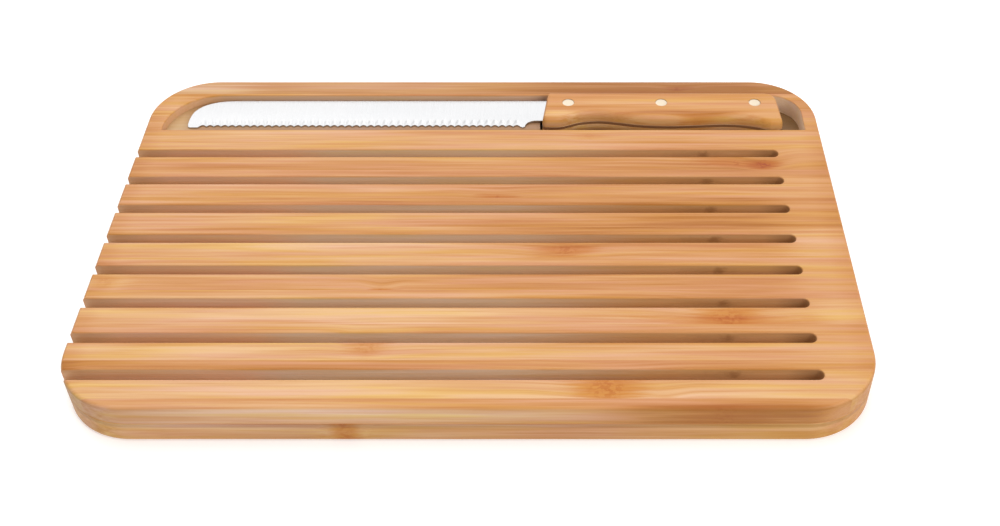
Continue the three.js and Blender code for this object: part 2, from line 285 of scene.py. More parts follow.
class Shader:
    """A material's node tree, with short ways to add nodes to it."""

    def __init__(self, name):
        self.material = bpy.data.materials.new(name)
        self.material.use_nodes = True
        self.tree = self.material.node_tree
        self.surface = self.tree.nodes["Principled BSDF"]
        self.coordinates = self.add("ShaderNodeTexCoord").outputs["Object"]
        split = self.add("ShaderNodeSeparateXYZ", Vector=self.coordinates)
        self.x, self.y, self.z = split.outputs
        normal = self.add("ShaderNodeNewGeometry").outputs["Normal"]
        facing = self.add("ShaderNodeSeparateXYZ", Vector=normal)
        self.facing_x, self.facing_y, self.facing_z = facing.outputs

    def plug(self, value, socket):
        if isinstance(value, bpy.types.NodeSocket):
            self.tree.links.new(value, socket)
        else:
            socket.default_value = value

    def add(self, kind, settings=(), values=(), **inputs):
        node = self.tree.nodes.new(kind)
        for key, value in dict(settings).items():
            setattr(node, key, value)
        for value, socket in zip(values, node.inputs):
            self.plug(value, socket)
        for key, value in inputs.items():
            self.plug(value, node.inputs[key])
        return node

    def math(self, operation, *values):
        return self.add("ShaderNodeMath", {"operation": operation}, values).outputs[0]

    def times(self, first, second, base=0.0):
        """A product on top of a base."""
        return self.math("MULTIPLY_ADD", first, second, base)

    def hypot(self, first, second):
        """The length that two lengths at right angles make."""
        return self.math("SQRT", self.times(second, second, self.times(first, first)))

    def ramp(self, value, start, end, low=0.0, high=1.0, kind="SMOOTHSTEP"):
        """Eases from low at start to high at end."""
        limits = {"From Min": start, "From Max": end, "To Min": low, "To Max": high}
        node = self.add("ShaderNodeMapRange", {"interpolation_type": kind}, Value=value, **limits)
        return node.outputs["Result"]

    def around(self, value, reach, base):
        """A base moved up and down by what a noise departs from its middle."""
        return self.times(self.math("SUBTRACT", value, MIDDLE), reach, base)

    def toward(self, value, target, share):
        """A value drawn part of the way to a target."""
        return self.times(self.math("SUBTRACT", target, value), share, value)

    def scaled(self, color, factor):
        """A colour made lighter or darker by a factor."""
        node = self.add("ShaderNodeVectorMath", {"operation": "SCALE"}, Vector=color, Scale=factor)
        return node.outputs[0]

    def apart(self, value, centre, unit):
        """How far a value lies from a centre, in units."""
        return self.math("ABSOLUTE", self.math("DIVIDE", self.math("SUBTRACT", value, centre), unit))

    def tones(self, value, stops):
        """The colour of a value on a row of stops, each a place and its red, green and blue."""
        node = self.add("ShaderNodeValToRGB", Fac=value)
        elements = node.color_ramp.elements
        first, *others, last = [(position, (*color, 1.0)) for position, *color in stops]
        elements[0].position, elements[0].color = first
        elements[1].position, elements[1].color = last
        for position, color in others:
            elements.new(position).color = color
        return node.outputs["Color"]

    def stretch(self, size, offset, coordinates=None):
        """Coordinates moved by an offset, whose unit is a size along, across and up, if that is given."""
        scale = [1 / length for length in (*size, size[-1])[:3]]
        values = (coordinates or self.coordinates, scale, offset)
        return self.add("ShaderNodeVectorMath", {"operation": "MULTIPLY_ADD"}, values).outputs[0]

    def streaks(self, size, offset, coordinates=None, detail=PLAIN_DETAIL):
        """A noise that is drawn out to a size."""
        vector = self.stretch(size, offset, coordinates)
        return self.add("ShaderNodeTexNoise", Vector=vector, Scale=1.0, Detail=detail).outputs["Fac"]

    def mix(self, factor, first, second, blend="MIX"):
        node = self.add("ShaderNodeMix", {"data_type": "RGBA", "blend_type": blend}, Factor=factor)
        colors = [socket for socket in node.inputs if socket.type == "RGBA"]
        self.plug(first, colors[0])
        self.plug(second, colors[1])
        return next(socket for socket in node.outputs if socket.type == "RGBA")

    def tinted(self, color, tint, share=1.0):
        """A colour multiplied by a tint, as far as a share of it goes."""
        return self.mix(share, color, tint, "MULTIPLY")

    def bump(self, height, distance, strength):
        node = self.add("ShaderNodeBump", Height=height, Distance=distance, Strength=strength)
        self.plug(node.outputs["Normal"], self.surface.inputs["Normal"])

    def finish(self, values):
        """The material with values in the sockets of its surface."""
        for name, value in values.items():
            self.plug(value, self.surface.inputs[name])
        return self.material


# What a surface sends back of its own colour, for a studio that lights a level surface above 1, and the
# curve from screen levels to linear light
LIGHT_SHARE = 0.74
SCREEN_LEVELS, SCREEN_OFFSET, SCREEN_POWER = 255, 0.055, 2.4


def tone(red, green, blue):
    """The linear colour of a level surface that shows as this screen tone under the studio's light."""
    levels = [level / SCREEN_LEVELS + SCREEN_OFFSET for level in (red, green, blue)]
    return [LIGHT_SHARE * (level / (1 + SCREEN_OFFSET)) ** SCREEN_POWER for level in levels]


# Bamboo

# Screen tones under the studio's light, from the palest fibres at 0 to the deepest at 1
BAMBOO_TONES = (
    (0.0, *tone(248, 198, 142)),
    (0.25, *tone(238, 180, 121)),
    (0.5, *tone(228, 161, 98)),
    (0.75, *tone(213, 141, 71)),
    (1.0, *tone(190, 116, 43)),
)
PINK_TINT = (1.0, 0.97, 1.2, 1.0)
YELLOW_TINT = (0.995, 1.0, 0.68, 1.0)
AMBER_TINT = (0.85, 0.6, 0.16, 1.0)
RUST_TINT = (0.8, 0.52, 0.06, 1.0)
MARK_TINT = (0.7, 0.64, 0.58, 1.0)
FIBRE_TONE = (*tone(206, 132, 68), 1.0)

# Lengths and widths of the streaks of each size, and how much they change the tone
BROAD_STREAK, BROAD_SHARE = (130 * MM, 5.5 * MM), 0.95
MEDIUM_STREAK, MEDIUM_SHARE = (80 * MM, 1.7 * MM), 0.7
FINE_STREAK, FINE_SHARE = (36 * MM, 0.42 * MM), 0.4
HUE_STREAK = (90 * MM, 4.2 * MM)
FIBRE_STREAK = (60 * MM, 0.7 * MM)
FIBRE_PATCH = (60 * MM, 3 * MM)
SWAY_STREAK, SWAY = (170 * MM, 16 * MM), 1.6 * MM
STRIP_BLEND = 0.3 * MM
STRIP_WANDER = 0.9 * MM
PLACE_STEPS = (3.7, 11.3, 5.1)
SHIFT_REACH = (-70 * MM, 130 * MM)
HUE_REACH = 0.16
WOOD_ROUGHNESS = (0.44, 0.58)
WOOD_GLOSS = 0.35
GRAIN_RELIEF, FIBRE_RELIEF, RELIEF_STRENGTH = 0.05 * MM, -0.6, 0.6

# The bundles of fibres: how freely they lie, where their dots begin and are full, and how they gather
FIBRE_SCATTER = 0.9
FIBRE_EDGE = (0.36, 0.14)
FIBRE_PATCHES = (0.4, 0.65, 0.06, 0.32)

# How far noise frays pale patches, halos, hearts and marks, and where these begin and are full
PALE_FRAY, PALE_EDGE = 1.2, (1.2, 0.3)
HALO_FRAY, HALO_EDGE = 1.0, (1.15, 0.35)
HEART_FRAY, HEART_EDGE = 0.8, (1.15, 0.3)
MARK_FRAY, MARK_EDGE = 0.9, (1.1, 0.1)

# How a knot bends the grain round it and how wide, the wisps of its halo and the mottles of its heart
KNOT_BOW, BOW_WIDTHS = 2.2 * MM, 2
KNOT_WISP = (16 * MM, 1.1 * MM)
KNOT_MOTTLE = (2.6 * MM, 1.7 * MM)
KNOT_PLACE_STEPS = (0.37, 0.61)
HEART_WIDTH_SHARE = 0.8
BLOTCH_EDGE, BLOTCH_SHARE = (0.44, 0.6), 0.72

# Between which parts of its normal a surface comes to count as an end, a floor, an outer face, a rim or a
# handle's side
END_FACING = (0.3, 0.9)
FLOOR_FACING = (0.5, 0.9)
OUTER_FACING = (0.95, 0.25)
RIM_FACING = (0.1, 0.5)
SIDE_FACING = (0.6, 0.1)

# Tints of the milled wood from the board's left end to its right, which paint light and shade: in the
# grooves, on the recess's walls and in the base under it, painted light that lifts their shade, with
# painted shade at the grooves' open left ends and round right ends and on floors; what depth does to that,
# lighter down a groove and darker down the recess; and how far its streaks fade
GROOVE_LIGHT_AND_SHADE = (
    (0.0, 0.8, 0.98, 1.45), (0.06, 1.02, 1.3, 2.1), (0.22, 1.08, 1.42, 2.4), (0.28, 1.04, 1.56, 2.95),
    (0.55, 1.04, 1.56, 2.95), (0.72, 0.95, 1.16, 1.5), (0.89, 0.91, 1.08, 1.35), (0.915, 0.7, 0.78, 0.92),
)
RECESS_LIGHT_AND_SHADE = (
    (0.0, 1.2, 1.5, 2.3), (0.06, 1.2, 1.5, 2.3), (0.13, 1.15, 1.6, 2.9),
    (0.8, 1.1, 1.5, 2.9), (0.96, 1.52, 2.5, 5.2),
)
POCKET_LIGHT_AND_SHADE = ((0.0, 1.0, 1.4, 2.0), (0.598, 1.0, 1.4, 2.0), (0.61, 0.68, 0.95, 1.3))
# Painted shade on the floors of tray and pocket, lighter at the tray's left end
FLOOR_PAINTED_SHADE = ((0.0, 0.8, 0.86, 0.75), (0.045, 0.8, 0.86, 0.75), (0.075, 0.59, 0.51, 0.41))
GROOVE_PAINTED_LIGHT, RECESS_PAINTED_LIGHT = (GROOVE_LIGHT_AND_SHADE, 1.3), (RECESS_LIGHT_AND_SHADE, 0.92)
INNER_MARGIN = 0.6 * MM
FADE = 0.6 * MM
OUTER_MARGIN = 0.3 * MM
INNER_CALM, END_CALM = 0.65, 0.7
WALL_FACING, WALL_SHARE = 0.9, 0.18

# Tints that paint light and shade on the two plies' outer faces from the left end to the right, darkest
# round the corners at both ends, and the painted shade of their rims and the shade of their seam
TOP_FACE_LIGHT_AND_SHADE = (
    (0.0, 0.62, 0.64, 0.55), (0.05, 0.68, 0.7, 0.7), (0.1, 0.72, 0.76, 0.92),
    (0.2, 0.87, 1.04, 1.55), (0.32, 0.92, 1.14, 1.9), (0.45, 0.86, 1.03, 1.42),
    (0.6, 0.81, 0.92, 1.06), (0.8, 0.83, 0.92, 1.06), (0.9, 0.75, 0.77, 0.7),
    (0.95, 0.72, 0.7, 0.5), (1.0, 0.7, 0.6, 0.36),
)
BASE_FACE_LIGHT_AND_SHADE = (
    (0.0, 0.84, 0.96, 1.05), (0.15, 0.9, 1.05, 1.36), (0.3, 0.77, 0.84, 1.02),
    (0.5, 0.83, 0.96, 1.2), (0.85, 0.85, 0.97, 1.08), (0.95, 0.84, 0.9, 0.82),
    (1.0, 0.8, 0.72, 0.5),
)
RIM_SHADE = 0.97
SEAM_BAND, SEAM_SHADE = 3.6 * MM, 0.79

# How much deeper the ends of the board are, and how paler and calmer its plain right margin is
END_SOAK = 0.16
END_SOAK_REACH = (176 * MM, 188 * MM)
MARGIN_TONE, MARGIN_CALM = 0.26, 0.32
MARGIN_REACH = (140 * MM, 172 * MM)


def bamboo(name, place, strips, seams, shift=0.0, knots=(), pales_and_sheen=(), milled=None, faces=None, tint=None,
           painted_side_light=None):
    """Bamboo with its grain along X. place moves the pattern, strips are the tones of three strips from
    the back, seams the Y where they meet, and shift deepens the tone to the right. A knot is X, Y, length,
    width, length of its heart and strength, a pale patch X, Y, length, width and strength; pale patches
    are paler wood, and painted sheen and highlights. milled is for grooves and recess: tints that paint
    light and shade, how they change with depth, and marks. faces is for the board's outer faces: tints
    that paint light and shade, and the shade under their seam."""
    shader = Shader(name)
    offset = tuple(place * step for step in PLACE_STEPS)
    swayed = bowed_grain(shader, offset, knots)
    grain = shader.add("ShaderNodeCombineXYZ", X=shader.x, Y=swayed, Z=shader.z).outputs[0]
    broad = shader.streaks(BROAD_STREAK, offset, grain)
    medium = shader.streaks(MEDIUM_STREAK, offset, grain, FINE_DETAIL)
    fine = shader.streaks(FINE_STREAK, offset, grain)
    hue = shader.streaks(HUE_STREAK, offset, grain)

    value = strip_tone(shader, medium, strips, seams)
    for streak, share in ((broad, BROAD_SHARE), (medium, MEDIUM_SHARE), (fine, FINE_SHARE)):
        value = shader.around(streak, share, value)
    out = shader.math("ABSOLUTE", shader.x)
    for place, limits, depth in ((shader.x, SHIFT_REACH, shift), (out, END_SOAK_REACH, END_SOAK)):
        value = shader.math("ADD", value, shader.ramp(place, *limits, 0.0, depth))
    margin = shader.ramp(shader.x, *MARGIN_REACH, 0.0, MARGIN_CALM)
    value = shader.toward(value, MARGIN_TONE, margin)
    # Pale patches: paler wood, and painted sheen and highlights
    for x, y, length, width, strength in pales_and_sheen:
        away = shader.around(medium, PALE_FRAY, oval(shader, swayed, x, y, length, width))
        value = shader.math("SUBTRACT", value, shader.ramp(away, *PALE_EDGE, 0.0, strength))
    ends = shader.ramp(shader.math("ABSOLUTE", shader.facing_x), *END_FACING, 0.0, END_CALM)
    value = shader.toward(value, MIDDLE, ends)
    if milled:
        below = milled_mask(shader)
        calm = shader.times(below, INNER_CALM)
        value = shader.toward(value, MIDDLE, calm)
        hue = shader.toward(hue, MIDDLE, calm)
    color = shader.tones(value, BAMBOO_TONES)
    for full, hue_tint in ((MIDDLE + HUE_REACH, PINK_TINT), (MIDDLE - HUE_REACH, YELLOW_TINT)):
        color = shader.tinted(color, hue_tint, shader.ramp(hue, MIDDLE, full))
    spots = fibre_spots(shader, offset, grain)
    patchy = shader.ramp(shader.streaks(FIBRE_PATCH, offset, detail=SOFT_DETAIL), *FIBRE_PATCHES)
    color = shader.mix(shader.times(spots, patchy), color, FIBRE_TONE)

    for sizes in knots:
        color = knot(shader, color, swayed, sizes)
    along = shader.ramp(shader.x, board_low.x, board_high.x, kind="LINEAR")
    # Painted light and shade on grooves and recess, and marks in the grooves
    if milled:
        color = milled_light_and_marks(shader, color, below, along, offset, milled)
    if faces:
        color = outer_color(shader, color, along, faces)
    if tint:
        color = shader.tinted(color, tint)
    # Painted light and shade on the handle's sides
    if painted_side_light:
        color = shader.tinted(color, painted_side_light, shader.ramp(shader.facing_z, *SIDE_FACING))

    shader.bump(shader.times(spots, FIBRE_RELIEF, fine), GRAIN_RELIEF, RELIEF_STRENGTH)
    rough = shader.ramp(medium, *NOISE_SPAN, *WOOD_ROUGHNESS)
    return shader.finish({"Base Color": color, "Roughness": rough, "Specular IOR Level": WOOD_GLOSS})


def bowed_grain(shader, offset, knots):
    """The Y of the grain, which sways along the lath and bows round its knots."""
    swayed = shader.around(shader.streaks(SWAY_STREAK, offset, detail=SOFT_DETAIL), SWAY, shader.y)
    for x, y, length, width, _, strength in knots:
        beside = shader.ramp(shader.apart(shader.y, y, BOW_WIDTHS * width), 1.0, 0.0)
        bell = shader.times(shader.ramp(shader.apart(shader.x, x, length), 1.0, 0.0), beside)
        swayed = shader.times(bell, KNOT_BOW * strength, swayed)
    return swayed


def strip_tone(shader, medium, strips, seams):
    """The tone of a lath's three strips, whose seams wander a little."""
    wander = shader.around(medium, STRIP_WANDER, shader.y)
    near, far = (shader.ramp(wander, seam - STRIP_BLEND, seam + STRIP_BLEND) for seam in seams)
    value = shader.times(near, strips[1] - strips[2], strips[2])
    return shader.times(far, strips[0] - strips[1], value)


def fibre_spots(shader, offset, grain):
    """1 in the drawn out dots of the bundles of fibres, 0 between them."""
    vector = shader.stretch(FIBRE_STREAK, offset, grain)
    scatter = {"Vector": vector, "Scale": 1.0, "Randomness": FIBRE_SCATTER}
    bundles = shader.add("ShaderNodeTexVoronoi", {"feature": "F1"}, **scatter)
    return shader.ramp(bundles.outputs["Distance"], *FIBRE_EDGE)


def oval(shader, across, x, y, length, width):
    """0 at the middle of an oval and 1 on its outline."""
    return shader.hypot(shader.apart(shader.x, x, length / 2), shader.apart(across, y, width / 2))


def knot(shader, color, swayed, sizes):
    """Lays a knot over the colour: an amber halo drawn out along the grain, round a mottled heart."""
    x, y, length, width, heart, strength = sizes
    middle = y + KNOT_BOW * strength
    offset = (x / MM * KNOT_PLACE_STEPS[0], y / MM * KNOT_PLACE_STEPS[1], 0.0)
    wisps = shader.streaks(KNOT_WISP, offset)
    mottle = shader.streaks(KNOT_MOTTLE, offset)
    away = shader.around(wisps, HALO_FRAY, oval(shader, swayed, x, middle, length, width))
    halo = shader.ramp(away, *HALO_EDGE, 0.0, min(1.0, strength))
    core = oval(shader, swayed, x, middle, heart, HEART_WIDTH_SHARE * width)
    away = shader.around(mottle, HEART_FRAY, core)
    blotches = shader.ramp(mottle, *BLOTCH_EDGE, 0.0, min(1.0, BLOTCH_SHARE * strength))
    blotches = shader.times(shader.ramp(away, *HEART_EDGE), blotches)
    return shader.tinted(shader.tinted(color, AMBER_TINT, halo), RUST_TINT, blotches)


def inside_mask(shader, margin):
    """1 inside the board's rounded outline less a margin, 0 beyond it."""
    past = []
    for place, reach in ((shader.x, board_high.x), (shader.y, board_high.y)):
        beyond = shader.math("SUBTRACT", shader.math("ABSOLUTE", place), reach - CORNER_RADIUS)
        past.append(shader.math("MAXIMUM", beyond, 0.0))
    return shader.math("LESS_THAN", shader.hypot(*past), CORNER_RADIUS - margin)


def groove_wall(shader):
    """1 on the straight walls of grooves and recess, which no corner of the outline faces like."""
    straight = shader.math("GREATER_THAN", shader.math("ABSOLUTE", shader.facing_y), WALL_FACING)
    reach = board_high.y - CORNER_RADIUS * WALL_SHARE
    within = shader.math("LESS_THAN", shader.math("ABSOLUTE", shader.y), reach)
    return shader.times(straight, within)


def milled_mask(shader):
    """1 on the walls and floors that were milled into the board, 0 on its faces and its rounded rims."""
    mouth = shader.ramp(shader.z, BOARD_TOP - INNER_MARGIN + FADE, BOARD_TOP - INNER_MARGIN - FADE)
    above_base = shader.math("GREATER_THAN", shader.z, PLY_SEAM - OUTER_MARGIN)
    under_rim = shader.math("LESS_THAN", shader.z, BOARD_TOP - EDGE_ROUND)
    near_rim = shader.math("MAXIMUM", under_rim, groove_wall(shader))
    near_rim = shader.times(near_rim, inside_mask(shader, OUTER_MARGIN))
    inside = shader.math("MAXIMUM", near_rim, inside_mask(shader, EDGE_ROUND + OUTER_MARGIN))
    return shader.times(inside, shader.times(mouth, above_base))


def milled_light_and_marks(shader, color, below, along, offset, milled):
    """Paints light and shade on the milled wood as tints along the board, with its depth and on floors,
    and lays marks over it.
    """
    tints, painted_depth_light, marks = milled
    # Painted light and shade: tints along the board, changed with depth, and painted shade on floors
    tinted = shader.tinted(color, shader.tones(along, tints))
    depth = shader.ramp(shader.z, BOARD_TOP - INNER_MARGIN, GROOVE_FLOOR, 1.0, painted_depth_light)
    floor = shader.ramp(shader.facing_z, *FLOOR_FACING)
    tinted = shader.tinted(shader.scaled(tinted, depth), shader.tones(along, FLOOR_PAINTED_SHADE), floor)
    color = shader.mix(below, color, tinted)
    mottle = shader.streaks(KNOT_MOTTLE, offset)
    for x, height, length, width, strength in marks:
        away = shader.around(mottle, MARK_FRAY, oval(shader, shader.z, x, height, length, width))
        mark = shader.times(shader.ramp(away, *MARK_EDGE), below)
        color = shader.tinted(color, MARK_TINT, shader.times(mark, strength))
    return color


def outer_color(shader, color, along, faces):
    """Paints light and shade on the board's outer faces along it and painted shade on its rounded rims,
    and shades the band under its seam.
    """
    tints, seam_shade = faces
    outer = shader.math("SUBTRACT", 1.0, inside_mask(shader, EDGE_ROUND + OUTER_MARGIN))
    outer = shader.times(outer, shader.ramp(shader.facing_z, *OUTER_FACING))
    outer = shader.times(outer, shader.math("SUBTRACT", 1.0, groove_wall(shader)))
    # Painted light and shade on the outer faces, and painted shade on the rims
    tinted = shader.tinted(color, shader.tones(along, tints))
    tinted = shader.scaled(tinted, shader.ramp(shader.facing_z, *RIM_FACING, 1.0, RIM_SHADE))
    band = shader.ramp(shader.z, PLY_SEAM - SEAM_BAND, PLY_SEAM - SEAM_BAND / 2, 1.0, seam_shade)
    return shader.mix(outer, color, shader.scaled(tinted, band))


# Steel

# Tone, tone of the clouds, roughness and the size of a scratch along, across and up
BLADE_FINISH = ((0.5, 0.5, 0.504, 1.0), (0.49, 0.492, 0.498, 1.0), 0.28, (0.12 * MM, 30 * MM, 1 * MM))
RIVET_FINISH = ((0.58, 0.5, 0.39, 1.0), (0.57, 0.485, 0.37, 1.0), 0.38, (0.4 * MM, 0.4 * MM, 1 * MM))
# Painted shade and reflection of the pocket's wood on the tang's edge, and the tang's roughness
TANG_PAINTED_SHADE, TANG_ROUGHNESS = (0.5, 0.31, 0.17, 1.0), 0.25
STEEL_CLOUD, CLOUD_PLACE = (35 * MM, 12 * MM), (4, 1, 2)
SCRATCH_ROUGHNESS = (-0.05, 0.07)
SCRATCH_RELIEF, SCRATCH_STRENGTH = 0.01 * MM, 0.3


def steel(name, finish, shaded_tang_from=None):
    """Steel with fine scratches, and past a leaning line, given by its X at the knife's back and its
    slant, rougher and tinted brown with the painted shade and reflection of the pocket's wood on the
    tang's edge."""
    color, cloud, roughness, scratch = finish
    shader = Shader(name)
    scratches = shader.streaks(scratch, (0, 0, 0), detail=FINE_DETAIL)
    clouds = shader.streaks(STEEL_CLOUD, CLOUD_PLACE)
    shade = shader.mix(shader.ramp(clouds, *NOISE_SPAN), color, cloud)
    rough = shader.ramp(scratches, *NOISE_SPAN, *(roughness + change for change in SCRATCH_ROUGHNESS))
    # Painted shade and reflection on the tang's edge, past a leaning line
    if shaded_tang_from:
        front, slant = shaded_tang_from
        down = shader.math("SUBTRACT", KNIFE_BACK, shader.y)
        shaded_tang = shader.math("GREATER_THAN", shader.times(down, slant, shader.x), front)
        shade = shader.mix(shaded_tang, shade, TANG_PAINTED_SHADE)
        rough = shader.times(shaded_tang, TANG_ROUGHNESS, rough)
    shader.bump(scratches, SCRATCH_RELIEF, SCRATCH_STRENGTH)
    return shader.finish({"Base Color": shade, "Metallic": 1.0, "Roughness": rough})


# Board

def board_blank():
    """Both plies in one, with rounded edges and a hairline where they meet."""
    levels = [(EDGE_ROUND * (1 - c), -EDGE_ROUND * (1 - s)) for s, c in quarter(ROUND_STEPS)]
    levels += [(PLY_SEAM - SEAM_EASE, 0.0), (PLY_SEAM, -SEAM_EASE), (PLY_SEAM + SEAM_EASE, 0.0)]
    levels += [(BOARD_TOP - EDGE_ROUND * (1 - s), -EDGE_ROUND * (1 - c)) for s, c in quarter(ROUND_STEPS)]
    sides = (board_low.x, board_high.x, board_low.y, board_high.y, (CORNER_RADIUS,) * 4)
    return layered("blank", [(height, corner_rectangle(*sides, grow)) for height, grow in levels])


def groove_cutter(back):
    """One crumb groove, open at the left and round at the right, with an eased rim."""
    radius = GROOVE_WIDTH / 2
    left = board_low.x - OVERRUN
    centre_x = board_high.x - GROOVE_END_MARGIN - radius
    centre_y = back - radius
    levels = []
    for height, grow in lip_levels(GROOVE_FLOOR):
        reach = radius + grow
        end = arc(centre_x, centre_y, reach, -math.pi / 2, math.pi, CORNER_STEPS)
        levels.append((height, [(left, centre_y + reach), (left, centre_y - reach), *end]))
    return layered("groove", levels)


def recess_cutters():
    """The tray under the blade and the deeper pocket under the handle."""
    left = board_low.x + RECESS_LEFT_WALL
    right = board_high.x - RECESS_RIGHT_WALL
    back = board_high.y - RAIL_WIDTH
    front = back - RECESS_DEPTH
    pocket_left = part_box("upper_scale")[0].x - HANDLE_START_CLEARANCE
    tray_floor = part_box("blade")[0].z - BLADE_FLOAT
    parts = (
        ("tray", left, pocket_left + OVERRUN, (0, 0, 0, RECESS_LEFT_RADIUS), tray_floor),
        ("pocket", pocket_left, right, (0, 0, RECESS_RIGHT_RADIUS, 0), PLY_SEAM - OVERRUN),
    )
    cutters = []
    for name, start, end, radii, floor in parts:
        sides = (start, end, front, back, radii)
        levels = [(height, corner_rectangle(*sides, grow)) for height, grow in lip_levels(floor)]
        cutters.append(layered(name, levels))
    return cutters


# Tones of each lath's three strips from the back, how much it deepens to the right, and its knots and pale
# patches in millimetres; the long pale patches across the slats are painted sheen as well as paler wood
TOP_LATHS = {
    "rail_lath_1": (
        (0.5, 0.55, 0.65), 0.6,
        ((113, 117, 20, 5, 8, 0.7), (92, 114, 120, 3, 10, 0.3)),
        ((-165, 112, 80, 30, 0.4),),
    ),
    "recess_lath_1": ((0.55, 0.55, 0.55), 0.15, (), ((-182, 100, 40, 30, 0.25),)),
    "recess_lath_2": ((0.38, 0.36, 0.39), 0.12, ((60, 72, 26, 7, 8, 0.3),), ((-90, 75, 120, 9, 0.2),)),
    "slat_1": (
        (0.42, 0.45, 0.55), 0.15, ((155, 48.5, 22, 12, 11, 1.6), (140, 49, 60, 9, 4, 0.85)),
        ((178, 54, 24, 30, 0.08),),
    ),
    "slat_2": ((0.58, 0.45, 0.48), 0.2, ((10, 18.5, 26, 9, 11, 0.9),), ()),
    "slat_3": ((0.55, 0.4, 0.5), 0.3, (), ((-95, 5, 110, 9, 0.15),)),
    "slat_4": (
        (0.47, 0.35, 0.4), 0.25, ((46, -20.5, 40, 11, 16, 0.75), (41, -27, 34, 8, 12, 0.55)),
        ((-70, -17, 130, 9, 0.2), (176, -20, 40, 30, 0.15)),
    ),
    "slat_5": (
        (0.42, 0.42, 0.5), 0.12, ((-181, -44, 16, 14, 11, 0.35), (-45, -51.5, 13, 8, 8, 1.3)),
        ((176, -45, 40, 30, 0.1), (-183, -46, 30, 24, 0.2)),
    ),
    "slat_6": (
        (0.45, 0.28, 0.25), 0.15, ((124, -67, 44, 17, 22, 0.85), (124, -70, 110, 10, 6, 0.55)),
        ((-60, -67, 150, 12, 0.25), (178, -66, 30, 30, 0.15)),
    ),
    "slat_7": (
        (0.45, 0.33, 0.25), 0.12, ((-48, -87.5, 26, 15, 16, 0.5), (-56, -82, 9, 5, 6, 0.7)),
        ((-120, -90, 90, 8, 0.15),),
    ),
    "slat_8": (
        (0.57, 0.2, 0.12), 0.1,
        ((63.5, -113, 44, 20, 22, 0.9), (90, -120.5, 16, 7, 9, 0.7), (-187, -105, 14, 9, 8, 0.7)),
        ((10, -117, 90, 5, 0.1),),
    ),
    "front_lath_1": (
        (0.4, 0.4, 0.4), 0.1, ((116, -125.5, 50, 7, 14, 0.35),), ((121, -125.5, 132, 9, -0.52),),
    ),
}
RECESSED_LATHS = ("rail_lath_1", "recess_lath_1", "recess_lath_2")
RAIL_TINT = (0.89, 0.94, 0.97, 1.0)
TOP_PLACE, TOP_PLACE_STEP = 1.0, 0.731
LATH_WIDTH = 23.1 * MM

# X, Z, length, height and strength of the marks in each groove
GROOVE_MIDDLE = (GROOVE_FLOOR + BOARD_TOP) / 2
GROOVE_MARKS = (
    (123 * MM, GROOVE_MIDDLE, 9 * MM, 7 * MM, 0.95),
    (116 * MM, GROOVE_MIDDLE, 40 * MM, 7 * MM, 0.4),
)

# The base laths: how their strips' tones swing from lath to lath, how far on in X the next one's knot lies
# and over what length, and the length, width, length of the heart and strength of a knot
BASE_SWING, BASE_TURN, BASE_PHASES = 0.14, 2.4, (0.0, 1.9, 4.1)
BASE_SHIFT = 0.1
BASE_PLACE, BASE_PLACE_STEP = 20.0, 0.917
BASE_KNOT_STEP, BASE_KNOT_SPAN = 137, 340
BASE_KNOT = (40 * MM, 13 * MM, 14 * MM, 0.5)
FRONT_KNOT_X, FRONT_KNOT = -55.5 * MM, (16 * MM, 12 * MM, 8 * MM, 0.8)


def metres(rows):
    """Rows of millimetres that end in a strength, in metres."""
    return [(*(size * MM for size in row[:-1]), row[-1]) for row in rows]


def lath_blank(node, blank, bottom, top, first, last):
    """The stretch of the board that a lath takes up, out to the edge if it is the first or the last."""
    low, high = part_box(node)
    left, right = board_low.x - OVERRUN, board_high.x + OVERRUN
    front = low.y - (OVERRUN if last else 0)
    back = high.y + (OVERRUN if first else 0)
    ring = [(left, front), (right, front), (right, back), (left, back)]
    slab = layered("slab", [(bottom, ring), (top, ring)])
    piece = linked(f"{node}_wood", blank.data.copy())
    cut(piece, slab, "INTERSECT")
    remove(slab)
    return piece


def make_top_ply(blank):
    recess = recess_cutters()
    for index, (node, (strips, shift, knots, pales_and_sheen)) in enumerate(TOP_LATHS.items()):
        last = index + 1 == len(TOP_LATHS)
        piece = lath_blank(node, blank, PLY_SEAM, BOARD_TOP + OVERRUN, index == 0, last)
        back_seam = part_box(node)[1].y - GROOVE_SETBACK
        marks = ()
        if node in RECESSED_LATHS:
            for cutter in recess:
                cut(piece, cutter, "DIFFERENCE")
        if node.startswith("slat"):
            cutter = groove_cutter(back_seam)
            cut(piece, cutter, "DIFFERENCE")
            remove(cutter)
            marks = GROOVE_MARKS
        seams = (back_seam - (LATH_WIDTH - GROOVE_SETBACK) / 2, back_seam)
        tint = RAIL_TINT if node == "rail_lath_1" else None
        milled = RECESS_PAINTED_LIGHT if node.startswith("recess") else GROOVE_PAINTED_LIGHT
        wood = bamboo(
            f"bamboo_{node}", TOP_PLACE + index * TOP_PLACE_STEP, strips, seams, shift, metres(knots),
            metres(pales_and_sheen), (*milled, marks), (TOP_FACE_LIGHT_AND_SHADE, 1.0), tint,
        )
        finish_piece(piece, wood, BOARD_CREASE)
        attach(piece, "board")
        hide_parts(node)
    remove(*recess)


